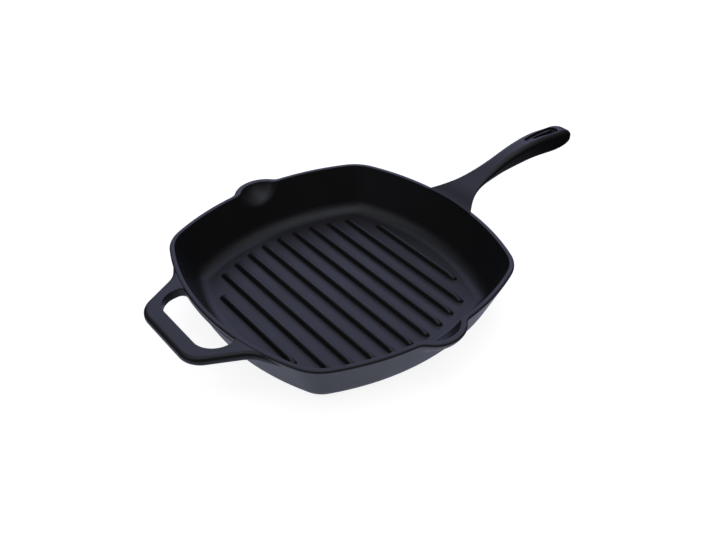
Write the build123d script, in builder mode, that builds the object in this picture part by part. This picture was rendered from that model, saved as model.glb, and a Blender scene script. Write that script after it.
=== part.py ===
from build123d import *
import os
from math import cos, radians, tan

# Square cast-iron grill pan: one casting, made here as the regions that a person would name.
# Millimetres. The origin is the middle of the flat underside, +X runs along the long handle
# and +Z is up. The regions meet face to face and none overlaps another.

# Body of the pan
rim_span = 262
pan_height = 45
side_radius = 218
corner_radius = 39.5
wall_lean = 22.7
wall_thickness = 4.8
floor_thickness = 5
foot_rounding = 17
cove_radius = 14
plate_edge_gap = 1
rim_depth = 8
rim_outer_rounding = 1.5
rim_inner_rounding = 0.7

# Pour spouts, one on each side: a round boss outside and a round dish inside, which both fade
# into the wall below the rim and lean by their own angles where they meet the rim
spout_reach = 10.8
spout_radius = 28.2
spout_lip = 6
spout_boss_lean = 20
spout_dish_lean = 26
spout_flare_radius = 11
spout_span = 66
spout_depth = 30

# Grill ribs along Y, spaced evenly along X. The gaps run from the floor's edge to the middle
# rib's ends and to the outermost rib's centre line, and the shares give each rib's length
# from the middle out.
rib_half_count = 5
rib_end_gap = 4.15
rib_side_gap = 13.5
rib_foot_width = 6
rib_height = 4.5
rib_lean = 17
rib_rounding = 0.9
rib_length_shares = (1, 0.99, 0.958, 0.905, 0.842, 0.57)

# Long handle, which arches up from the rim
handle_length = 154.4
handle_rise = 28.5
handle_half_width = 10
handle_depth = 18
handle_tip_length = 26.4
handle_top_rounding = 5.5
handle_bottom_rounding = 2.4
handle_top_edge_share = 0.58
handle_bottom_edge_share = 0.36
handle_tip_width_power = 2.5
handle_tip_depth_power = 2
# Stations along the handle, each with its place, height of the top, half width, depth in the
# middle and depth at the edges, as shares of the handle's length, rise, half width and depth
handle_station_shares = (
    (-0.052, 0.004, 2.87, 0.70, 0.150),
    (-0.026, 0.042, 2.61, 0.62, 0.125),
    (0.006, 0.112, 2.22, 0.56, 0.105),
    (0.045, 0.205, 1.79, 0.52, 0.100),
    (0.097, 0.306, 1.39, 0.49, 0.115),
    (0.162, 0.415, 1.12, 0.48, 0.165),
    (0.246, 0.566, 0.96, 0.53, 0.340),
    (0.350, 0.748, 0.87, 0.68, 0.560),
    (0.466, 0.902, 0.88, 0.84, 0.750),
    (0.583, 0.999, 0.93, 0.94, 0.870),
    (0.712, 1.016, 0.98, 1.01, 0.960),
    (0.829, 0.964, 0.97, 1.02, 0.970),
)
handle_tip_shares = (0.25, 0.45, 0.62, 0.77, 0.88, 0.95, 0.998)
handle_tip_drop_share = 0.8

# Teardrop recess in the end of the long handle, which follows the arch of the top, and the
# narrower hanging slot through its floor, which widens downwards
recess_radius = 5.4
recess_point_radius = 2.6
recess_length = 43
recess_end_gap = 20.5
recess_depth = 2
recess_rounding = 0.7
slot_ledge = 3.1
slot_point_gap = 9
slot_point_radius = 0.9
slot_lean = 6

# Helper handle, a loop opposite the long handle
helper_reach = 35.6
helper_depth = 8.2
helper_drop = 0.4
helper_bar_width = 14.5
helper_corner_half_width = 37
helper_corner_radius = 21
helper_root_half_width = 58
helper_root_inset = 5.5
helper_flare_radius = 24
helper_heel_half_width = 80
helper_heel_inset = 18
helper_opening_half_width = 39.7
helper_opening_corner_radius = 18
helper_opening_root_radius = 5
helper_opening_root_inset = 2
helper_outer_rounding = 3.4
helper_opening_rounding = 1.2

half_span = rim_span / 2
wall_slope = tan(radians(wall_lean))
os.makedirs("parts", exist_ok=True)


def pan_outline(inset):
    """The plan of the rim: a square with bulging sides and round corners, drawn in by an inset."""
    centre = side_radius - half_span
    with BuildSketch() as outline:
        with Locations((centre, 0)):
            Circle(side_radius - inset)
        for place in ((-centre, 0), (0, centre), (0, -centre)):
            with Locations(place):
                Circle(side_radius - inset, mode=Mode.INTERSECT)
        fillet(outline.vertices(), corner_radius - inset)
    return outline.sketch


# Blanks that the named regions are cut from, both hanging down from the rim's plane
spout_place = half_span + spout_reach - spout_radius
boss_ball_radius = spout_radius / cos(radians(spout_boss_lean))
with BuildPart() as pan_block:
    with BuildSketch(Plane.XY.offset(pan_height)):
        add(pan_outline(0))
    extrude(amount=-pan_height, taper=wall_lean)
    fillet(pan_block.faces().sort_by(Axis.Z)[0].edges(), foot_rounding)
    with Locations((0, spout_place, pan_height), (0, -spout_place, pan_height)):
        Sphere(boss_ball_radius, arc_size2=-spout_boss_lean, align=(Align.CENTER, Align.CENTER, Align.MAX))
    boss_seams = pan_block.edges(Select.LAST).filter_by(GeomType.BSPLINE).sort_by(SortBy.LENGTH)[-2:]
    fillet(boss_seams, spout_flare_radius)

cavity_depth = pan_height - floor_thickness
dish_radius = spout_radius - spout_lip
dish_ball_radius = dish_radius / cos(radians(spout_dish_lean))
with BuildPart() as pan_cavity:
    with BuildSketch(Plane.XY.offset(pan_height)):
        add(pan_outline(wall_thickness))
    extrude(amount=-cavity_depth, taper=wall_lean)
    fillet(pan_cavity.faces().sort_by(Axis.Z)[0].edges(), cove_radius)
    with Locations((0, spout_place, pan_height), (0, -spout_place, pan_height)):
        Sphere(dish_ball_radius, arc_size2=-spout_dish_lean, align=(Align.CENTER, Align.CENTER, Align.MAX))
    dish_seams = pan_cavity.edges(Select.LAST).filter_by(GeomType.BSPLINE).sort_by(SortBy.LENGTH)[-2:]
    fillet(dish_seams, spout_flare_radius)

with BuildPart() as pan_shell:
    add(pan_block.part)
    add(pan_cavity.part, mode=Mode.SUBTRACT)
    rim_face = pan_shell.faces().sort_by(Axis.Z)[-1]
    outer_edges = rim_face.outer_wire().edges()
    inner_edges = rim_face.inner_wires().edges()
    fillet(outer_edges, rim_outer_rounding)
    fillet(inner_edges, rim_inner_rounding)

# The flat floor ends where the cove begins to rise
cove_reach = cove_radius * tan(radians((90 - wall_lean) / 2))
plate_inset = wall_thickness + cavity_depth * wall_slope + cove_reach + plate_edge_gap

# Flat cooking floor inside the foot of the wall
with BuildPart() as base_plate:
    with BuildSketch():
        add(pan_outline(plate_inset))
    extrude(amount=floor_thickness)
base_plate.part.label = "base_plate"
export_step(base_plate.part, "parts/base_plate.step")

# Wall from the rounded foot up to the rim, with a notch where each spout stands
with BuildPart() as side_wall:
    add(pan_shell.part)
    with BuildSketch():
        add(pan_outline(plate_inset))
    extrude(amount=floor_thickness, mode=Mode.SUBTRACT)
    with BuildSketch(Plane.XY.offset(pan_height)):
        Rectangle(2 * rim_span, 2 * rim_span)
    extrude(amount=-rim_depth, mode=Mode.SUBTRACT)
    with BuildSketch(Plane.XY.offset(pan_height)):
        Rectangle(spout_span, 2 * rim_span)
    extrude(amount=-spout_depth, mode=Mode.SUBTRACT)
side_wall.part.label = "side_wall"
export_step(side_wall.part, "parts/side_wall.step")

# Rim: the band round the top of the wall, in two halves parted by the spouts
for side, name in ((1, "rim_handle_side"), (-1, "rim_helper_side")):
    with BuildPart() as rim_half:
        add(pan_shell.part)
        with BuildSketch(Plane.XY.offset(pan_height)):
            with Locations((side * (spout_span / 2 + rim_span / 2), 0)):
                Rectangle(rim_span, 2 * rim_span)
        extrude(amount=-rim_depth, mode=Mode.INTERSECT)
    rim_half.part.label = name
    export_step(rim_half.part, f"parts/{name}.step")

# Pour spouts, named as the cook sees them from the long handle
for side, name in ((-1, "pour_spout_left"), (1, "pour_spout_right")):
    with BuildPart() as pour_spout:
        add(pan_shell.part)
        with BuildSketch(Plane.XY.offset(pan_height)):
            with Locations((0, side * rim_span / 2)):
                Rectangle(spout_span, rim_span)
        extrude(amount=-spout_depth, mode=Mode.INTERSECT)
    pour_spout.part.label = name
    export_step(pour_spout.part, f"parts/{name}.step")

# Grill ribs, standing on the cooking floor
floor_half_span = half_span - plate_inset
rib_pitch = (floor_half_span - rib_side_gap) / rib_half_count
for number in range(-rib_half_count, rib_half_count + 1):
    name = f"grill_rib_{number + rib_half_count + 1:02d}"
    rib_length = 2 * (floor_half_span - rib_end_gap) * rib_length_shares[abs(number)]
    with BuildPart() as grill_rib:
        with BuildSketch(Plane.XY.offset(floor_thickness)):
            with Locations((number * rib_pitch, 0)):
                SlotOverall(rib_length, rib_foot_width, rotation=90)
        extrude(amount=rib_height, taper=rib_lean)
        fillet(grill_rib.faces().sort_by(Axis.Z)[-1].edges(), rib_rounding)
    grill_rib.part.label = name
    export_step(grill_rib.part, f"parts/{name}.step")


def handle_section(place, top, half_width, middle_depth, edge_depth):
    """A cross section of the long handle: a flat top, upright flanks and a bowed belly."""
    thinnest = min(edge_depth, half_width)
    hem = top - edge_depth
    with BuildSketch(Plane.YZ.offset(place)) as section:
        with BuildLine():
            Polyline((-half_width, hem), (-half_width, top), (half_width, top), (half_width, hem))
            ThreePointArc((half_width, hem), (0, top - middle_depth), (-half_width, hem))
        make_face()
        fillet(section.vertices().sort_by(Axis.Y)[2:], min(handle_top_rounding, handle_top_edge_share * thinnest))
        fillet(section.vertices().sort_by(Axis.Y)[:2], min(handle_bottom_rounding, handle_bottom_edge_share * thinnest))
    return section.sketch


slot_place = half_span + handle_length - recess_end_gap - recess_radius
point_place = slot_place + recess_radius + recess_point_radius - recess_length
slot_top = Plane.XY.offset(pan_height + handle_rise + recess_depth)


def handle_recess(handle_blank):
    """The metal to take out for the recess: a teardrop column down to the lowered top of the handle."""
    with BuildPart() as recess:
        with BuildSketch(slot_top):
            with Locations((slot_place, 0)):
                Circle(recess_radius)
            with Locations((point_place, 0)):
                Circle(recess_point_radius)
            make_hull()
        extrude(amount=-handle_rise / 2)
        with Locations((0, 0, -recess_depth)):
            add(handle_blank, mode=Mode.SUBTRACT)
    return recess.part


# Long handle: a loft through its stations, closed by a rounded tip, resting on the rim's top
with BuildPart() as long_handle:
    for place, height, width, middle, edge in handle_station_shares:
        add(
            handle_section(
                half_span + place * handle_length,
                pan_height + height * handle_rise,
                width * handle_half_width,
                middle * handle_depth,
                edge * handle_depth,
            )
        )
    tip_top = pan_height + height * handle_rise
    for reach in handle_tip_shares:
        width_shrink = (1 - reach**handle_tip_width_power) ** (1 / handle_tip_width_power)
        depth_shrink = (1 - reach**handle_tip_depth_power) ** (1 / handle_tip_depth_power)
        add(
            handle_section(
                half_span + handle_length * place + reach * handle_tip_length,
                tip_top - (1 - depth_shrink) * handle_tip_drop_share * middle * handle_depth,
                width_shrink * width * handle_half_width,
                depth_shrink * middle * handle_depth,
                depth_shrink * edge * handle_depth,
            )
        )
    loft()
    handle_blank = long_handle.part
    add(handle_recess(handle_blank), mode=Mode.SUBTRACT)
    fillet(long_handle.edges(Select.LAST).sort_by(Axis.Z)[-4:], recess_rounding)
    with BuildSketch(slot_top):
        with Locations((slot_place, 0)):
            Circle(recess_radius - slot_ledge)
        with Locations((point_place + slot_point_gap, 0)):
            Circle(slot_point_radius)
        make_hull()
    extrude(amount=-handle_rise, taper=-slot_lean, mode=Mode.SUBTRACT)
    add(pan_shell.part, mode=Mode.SUBTRACT)
    add(pan_cavity.part, mode=Mode.SUBTRACT)
    with BuildSketch(Plane.XY.offset(pan_height)):
        add(pan_outline(wall_thickness))
    extrude(amount=handle_rise, mode=Mode.SUBTRACT)
long_handle.part.label = "long_handle"
export_step(long_handle.part, "parts/long_handle.step")

# Helper handle: a flat loop that flares into the rim at both ends
bar_place = -half_span - helper_reach
with BuildPart() as helper_handle:
    with BuildSketch(Plane.XY.offset(pan_height - helper_drop)) as loop:
        with BuildLine():
            Polyline(
                (helper_heel_inset - half_span, helper_heel_half_width),
                (helper_root_inset - half_span, helper_root_half_width),
                (bar_place, helper_corner_half_width),
                (bar_place, -helper_corner_half_width),
                (helper_root_inset - half_span, -helper_root_half_width),
                (helper_heel_inset - half_span, -helper_heel_half_width),
                close=True,
            )
        make_face()
        fillet(loop.vertices().sort_by(Axis.X)[2:4], helper_flare_radius)
        fillet(loop.vertices().sort_by(Axis.X)[:2], helper_corner_radius)
    extrude(amount=-helper_depth)
    fillet(helper_handle.faces().filter_by(Plane.XY).edges(), helper_outer_rounding)
    with BuildSketch(Plane.XY.offset(pan_height)) as opening:
        with Locations((bar_place + helper_bar_width + helper_reach / 2, 0)):
            Rectangle(helper_reach, 2 * helper_opening_half_width)
        add(pan_outline(helper_opening_root_inset), mode=Mode.SUBTRACT)
        fillet(opening.vertices().sort_by(Axis.X)[-2:], helper_opening_root_radius)
        fillet(opening.vertices().sort_by(Axis.X)[:2], helper_opening_corner_radius)
    extrude(amount=-2 * helper_depth, mode=Mode.SUBTRACT)
    opening_rims = [face.inner_wires().edges() for face in helper_handle.faces().filter_by(Plane.XY)]
    fillet([edge for rim in opening_rims for edge in rim], helper_opening_rounding)
    add(pan_shell.part, mode=Mode.SUBTRACT)
    with BuildSketch(Plane.XY.offset(pan_height)):
        add(pan_outline(wall_thickness / 2))
    extrude(amount=-2 * helper_depth, taper=wall_lean, mode=Mode.SUBTRACT)
helper_handle.part.label = "helper_handle"
export_step(helper_handle.part, "parts/helper_handle.step")
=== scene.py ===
from math import cos, radians, sin

import bpy
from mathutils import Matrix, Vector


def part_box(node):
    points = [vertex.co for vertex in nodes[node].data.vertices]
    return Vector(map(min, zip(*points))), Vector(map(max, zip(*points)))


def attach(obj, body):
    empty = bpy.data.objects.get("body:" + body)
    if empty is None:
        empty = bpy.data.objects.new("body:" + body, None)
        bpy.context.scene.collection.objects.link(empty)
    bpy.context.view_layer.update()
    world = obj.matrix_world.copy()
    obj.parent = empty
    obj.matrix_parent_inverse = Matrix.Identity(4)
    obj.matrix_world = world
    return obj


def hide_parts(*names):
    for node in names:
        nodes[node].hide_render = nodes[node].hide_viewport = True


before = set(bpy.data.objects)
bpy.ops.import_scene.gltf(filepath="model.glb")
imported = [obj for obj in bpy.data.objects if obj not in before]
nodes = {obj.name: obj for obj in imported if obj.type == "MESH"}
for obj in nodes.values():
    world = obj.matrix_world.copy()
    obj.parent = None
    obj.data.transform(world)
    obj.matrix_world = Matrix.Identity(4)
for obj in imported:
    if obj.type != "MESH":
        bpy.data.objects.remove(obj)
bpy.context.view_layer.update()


# Camera
# A normal lens that looks down on the pan from beyond its helper handle, turned so that
# the long handle runs away to the upper right.
bpy.ops.object.camera_add(
    location=(-0.34982, -0.46209, 0.46930),
    rotation=(radians(52.531), radians(-0.101), radians(-38.562)),
)
camera = bpy.context.object
camera.name = "camera"
camera.data.sensor_width = 36
camera.data.lens = 43.145
camera.data.clip_start = 0.01
camera.data.clip_end = 100
bpy.context.scene.camera = camera
bpy.context.scene.view_settings.view_transform = "Standard"


# Table and studio
# A matt white card that the pan stands on, which fades into a dark bench a little beyond the pan.
# Soft light comes from a wide window behind, from overhead and from both sides of a dim room.
def linear(colour):
    """A colour written as sRGB hex, such as "1a2b3c", as the linear values that Blender uses."""
    parts = [int(colour[at:at + 2], 16) / 255 for at in (0, 2, 4)]
    return [part / 12.92 if part <= 0.04045 else ((part + 0.055) / 1.055) ** 2.4 for part in parts] + [1]


def add_node(tree, kind, inputs, **settings):
    """One node with its settings. Each input is either a plain value or another node's output."""
    node = tree.nodes.new(kind)
    for name, value in settings.items():
        setattr(node, name, value)
    for name, value in inputs.items():
        if isinstance(value, bpy.types.NodeSocket):
            tree.links.new(value, node.inputs[name])
        else:
            node.inputs[name].default_value = value
    return node


bpy.ops.object.select_all(action="DESELECT")
bpy.ops.mesh.primitive_plane_add(size=8, location=(0, 0, -0.0002))
table = bpy.context.object
table.name = "table_top"

# The camera sees card and bench as white with the pan's soft shadow. Mirrored in the iron they keep
# their own tones, and the card adds a painted cool glow out to card_reach; the bench beyond bench_reach is
# dark
card_reach = 0.17
bench_reach = 0.32
painted_card_glow = 0.66
white_glow = 0.88
white_card = bpy.data.materials.new("white_card_on_dark_bench_with_painted_glow")
white_card.use_nodes = True
tree = white_card.node_tree
tree.nodes.clear()
ray = add_node(tree, "ShaderNodeLightPath", {})
place = add_node(tree, "ShaderNodeTexCoord", {})
reach = add_node(tree, "ShaderNodeVectorMath", {0: place.outputs["Object"]}, operation="LENGTH")
card = add_node(
    tree, "ShaderNodeMapRange",
    {
        "Value": reach.outputs["Value"],
        "From Min": card_reach, "From Max": bench_reach, "To Min": 1, "To Max": 0,
    },
)
paper = add_node(
    tree, "ShaderNodeMix",
    {"Factor": card.outputs[0], "A": linear("303030"), "B": linear("c8c8c8")},
    data_type="RGBA",
)
seen_paper = add_node(
    tree, "ShaderNodeMix",
    {"Factor": ray.outputs["Is Camera Ray"], "A": paper.outputs["Result"], "B": linear("a0a0a0")},
    data_type="RGBA",
)
# Painted reflection: only glossy rays see the card glow, fading from card_reach to bench_reach, with no
# lamp there
painted_glow_mask = add_node(
    tree, "ShaderNodeMath",
    {0: ray.outputs["Is Glossy Ray"], 1: card.outputs[0]},
    operation="MULTIPLY",
)
painted_glow = add_node(
    tree, "ShaderNodeMath",
    {0: painted_glow_mask.outputs[0], 1: painted_card_glow},
    operation="MULTIPLY",
)
backdrop_and_painted_glow = add_node(
    tree, "ShaderNodeMath",
    {0: ray.outputs["Is Camera Ray"], 1: white_glow, 2: painted_glow.outputs[0]},
    operation="MULTIPLY_ADD",
)
backdrop_and_painted_glow_tone = add_node(
    tree, "ShaderNodeMix",
    {"Factor": ray.outputs["Is Camera Ray"], "A": linear("dce2ff"), "B": linear("ffffff")},
    data_type="RGBA",
)
matt = add_node(tree, "ShaderNodeBsdfDiffuse", {"Color": seen_paper.outputs["Result"]})
lit = add_node(
    tree, "ShaderNodeEmission",
    {"Color": backdrop_and_painted_glow_tone.outputs["Result"], "Strength": backdrop_and_painted_glow.outputs[0]},
)
surface = add_node(tree, "ShaderNodeAddShader", {0: matt.outputs[0], 1: lit.outputs[0]})
add_node(tree, "ShaderNodeOutputMaterial", {"Surface": surface.outputs[0]})
table.data.materials.append(white_card)

world = bpy.data.worlds.new("soft_studio")
bpy.context.scene.world = world
world.use_nodes = True
tree = world.node_tree
tree.nodes.clear()
ray = add_node(tree, "ShaderNodeLightPath", {})
place = add_node(tree, "ShaderNodeTexCoord", {})
axes = add_node(tree, "ShaderNodeSeparateXYZ", {0: place.outputs["Generated"]})
dome = add_node(
    tree, "ShaderNodeMapRange",
    {"Value": axes.outputs["Z"], "From Min": 0.35, "From Max": 0.8, "To Min": 0.02, "To Max": 0.24},
)
light = dome.outputs[0]
# Each soft light is a round patch of the room: its direction and half width in degrees, its
# strength at the middle and its colour. They are the window, the overhead light and the two sides
soft_lights = (
    (50, 30, 40, 1.72, "cdd2ff"),
    (0, 90, 30, 1.0, "f4f6ff"),
    (173, 50, 34, 0.85, "f4f6ff"),
    (300, 60, 34, 0.75, "f4f6ff"),
)
for azimuth, elevation, half_width, strength, colour in soft_lights:
    toward = (
        cos(radians(azimuth)) * cos(radians(elevation)),
        sin(radians(azimuth)) * cos(radians(elevation)),
        sin(radians(elevation)),
    )
    along = add_node(
        tree, "ShaderNodeVectorMath",
        {0: place.outputs["Generated"], 1: toward},
        operation="DOT_PRODUCT",
    )
    softbox = add_node(
        tree, "ShaderNodeMapRange",
        {"Value": along.outputs["Value"], "From Min": cos(radians(half_width)), "To Max": strength},
        interpolation_type="SMOOTHSTEP",
    )
    light = add_node(
        tree, "ShaderNodeVectorMath",
        {0: softbox.outputs[0], 1: linear(colour)[:3], 2: light},
        operation="MULTIPLY_ADD",
    ).outputs[0]
room = add_node(tree, "ShaderNodeBackground", {"Color": light, "Strength": 1})
backdrop = add_node(tree, "ShaderNodeBackground", {"Color": linear("ffffff"), "Strength": 1})
both = add_node(
    tree, "ShaderNodeMixShader",
    {0: ray.outputs["Is Camera Ray"], 1: room.outputs[0], 2: backdrop.outputs[0]},
)
add_node(tree, "ShaderNodeOutputWorld", {"Surface": both.outputs[0]})


# Casting
# The pan is one sand casting in grey iron, baked with oil until it is black. Its regions
# share that finish: a dark satin skin over the fine pebbled grain that the sand leaves.
seasoned_iron = bpy.data.materials.new("oil_seasoned_sand_cast_iron")
seasoned_iron.use_nodes = True
tree = seasoned_iron.node_tree
tree.nodes.clear()
place = add_node(tree, "ShaderNodeTexCoord", {})
# Sand grain is about 0.4 mm, drawn here at 1.2 mm so that it shows at this distance
grain_size = 0.0012
# The baked oil pools a little over 9 mm and varies from dull to glossy over about 45 mm
pool_size = 0.009
gloss_size = 0.045
sand = add_node(
    tree, "ShaderNodeTexNoise",
    {"Vector": place.outputs["Object"], "Scale": 1 / grain_size, "Detail": 3, "Roughness": 0.6},
)
pooling = add_node(
    tree, "ShaderNodeTexNoise",
    {"Vector": place.outputs["Object"], "Scale": 1 / pool_size, "Detail": 2, "Roughness": 0.5},
)
baking = add_node(
    tree, "ShaderNodeTexNoise",
    {"Vector": place.outputs["Object"], "Scale": 1 / gloss_size, "Detail": 2, "Roughness": 0.5},
)
gloss = add_node(
    tree, "ShaderNodeMapRange",
    {"Value": baking.outputs["Fac"], "From Min": 0.3, "From Max": 0.7, "To Min": 0.39, "To Max": 0.45},
)
tone = add_node(
    tree, "ShaderNodeMix",
    {"Factor": sand.outputs["Fac"], "A": linear("151515"), "B": linear("191919")},
    data_type="RGBA",
)
bump_strength = 0.25
pool_depth = 0.0003
grain_depth = 0.00015
pitted = add_node(
    tree, "ShaderNodeBump",
    {"Height": pooling.outputs["Fac"], "Strength": bump_strength, "Distance": pool_depth},
)
grained = add_node(
    tree, "ShaderNodeBump",
    {
        "Height": sand.outputs["Fac"], "Strength": bump_strength, "Distance": grain_depth,
        "Normal": pitted.outputs["Normal"],
    },
)
iron = add_node(
    tree, "ShaderNodeBsdfPrincipled",
    {
        "Base Color": tone.outputs["Result"],
        "Metallic": 0,
        "Roughness": gloss.outputs["Result"],
        "IOR": 1.5,
        "Specular IOR Level": 0.37,
        "Specular Tint": linear("f4f6ff"),
        "Normal": grained.outputs["Normal"],
    },
)
add_node(tree, "ShaderNodeOutputMaterial", {"Surface": iron.outputs[0]})
for name in (
    "base_plate", "side_wall", "rim_handle_side", "rim_helper_side", "pour_spout_left", "pour_spout_right",
    "long_handle", "helper_handle",
):
    nodes[name].data.materials.clear()
    nodes[name].data.materials.append(seasoned_iron)


# Grill ribs
# Eleven low ribs cast on the cooking floor, shorter towards the sides. Each has leaning
# flanks, a rounded crest and a soft fillet where the iron runs out into the floor.
rib_count = 11
floor_top = 0.005
# Half width and height over the floor, from the fillet's foot up to the crest
rib_profile = (
    (0.00404, 0), (0.00361, 0.00007), (0.00320, 0.00028), (0.00289, 0.00060), (0.00270, 0.00099),
    (0.00198, 0.00335), (0.00180, 0.00376), (0.00150, 0.00411), (0.00108, 0.00436), (0.00056, 0.00448),
    (0.00030, 0.00450),
)
rib_places = {}
for number in range(1, rib_count + 1):
    low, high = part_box(f"grill_rib_{number:02d}")
    rib_places[number] = ((low.x + high.x) / 2, (high.y - low.y) / 2)

# The middle rib is modelled first: a disc pulled out to the rib's length and stepped up
# ring by ring along the profile. Over the last run_out of each end its crest sinks
middle_half_length = rib_places[(rib_count + 1) // 2][1]
end_radius = 0.003
end_points = 32
run_out = 0.011
run_out_share = 0.55
bpy.ops.object.select_all(action="DESELECT")
bpy.ops.mesh.primitive_circle_add(
    vertices=end_points, radius=rib_profile[0][0], fill_type="NGON", location=(0, 0, floor_top),
    rotation=(0, 0, radians(180 / end_points)),
)
first_rib = bpy.context.object
bpy.ops.object.transform_apply()
bpy.ops.object.mode_set(mode="EDIT")
bpy.ops.mesh.select_mode(type="VERT")
for way in (1, -1):
    bpy.ops.mesh.select_all(action="DESELECT")
    bpy.ops.object.mode_set(mode="OBJECT")
    for corner in first_rib.data.vertices:
        corner.select = way * corner.co.y > 0
    bpy.ops.object.mode_set(mode="EDIT")
    bpy.ops.transform.translate(value=(0, way * (middle_half_length - end_radius), 0))
bpy.ops.mesh.select_all(action="SELECT")
bpy.ops.mesh.select_mode(type="FACE")
for (outer, below), (inner, above) in zip(rib_profile, rib_profile[1:]):
    bpy.ops.mesh.inset(thickness=outer - inner, depth=above - below)
for inward in (0.006, 0.004, 0.002, 0):
    for way in (1, -1):
        bpy.ops.mesh.select_all(action="SELECT")
        bpy.ops.mesh.bisect(
            plane_co=(0, way * (middle_half_length - end_radius - inward), 0), plane_no=(0, 1, 0),
        )
bpy.ops.mesh.select_mode(type="EDGE")
bpy.ops.mesh.select_all(action="DESELECT")
bpy.ops.mesh.select_non_manifold(extend=False)
bpy.ops.mesh.edge_face_add()
bpy.ops.mesh.select_all(action="SELECT")
bpy.ops.mesh.normals_make_consistent(inside=False)
bpy.ops.object.mode_set(mode="OBJECT")
for corner in first_rib.data.vertices:
    near_end = max(0, abs(corner.co.y) - middle_half_length + run_out) / run_out
    corner.co.z -= run_out_share * near_end ** 2 * (corner.co.z - floor_top)
bpy.ops.object.shade_smooth_by_angle(angle=radians(50))
first_rib.data.materials.append(seasoned_iron)

for number, (across, half_length) in rib_places.items():
    rib = first_rib.copy()
    rib.data = first_rib.data.copy()
    rib.name = f"rib_{number:02d}"
    bpy.context.collection.objects.link(rib)
    for corner in rib.data.vertices:
        corner.co.x += across
        corner.co.y += (half_length - middle_half_length) * (1 if corner.co.y > 0 else -1)
    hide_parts(f"grill_rib_{number:02d}")
    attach(rib, "root")
bpy.data.objects.remove(first_rib)
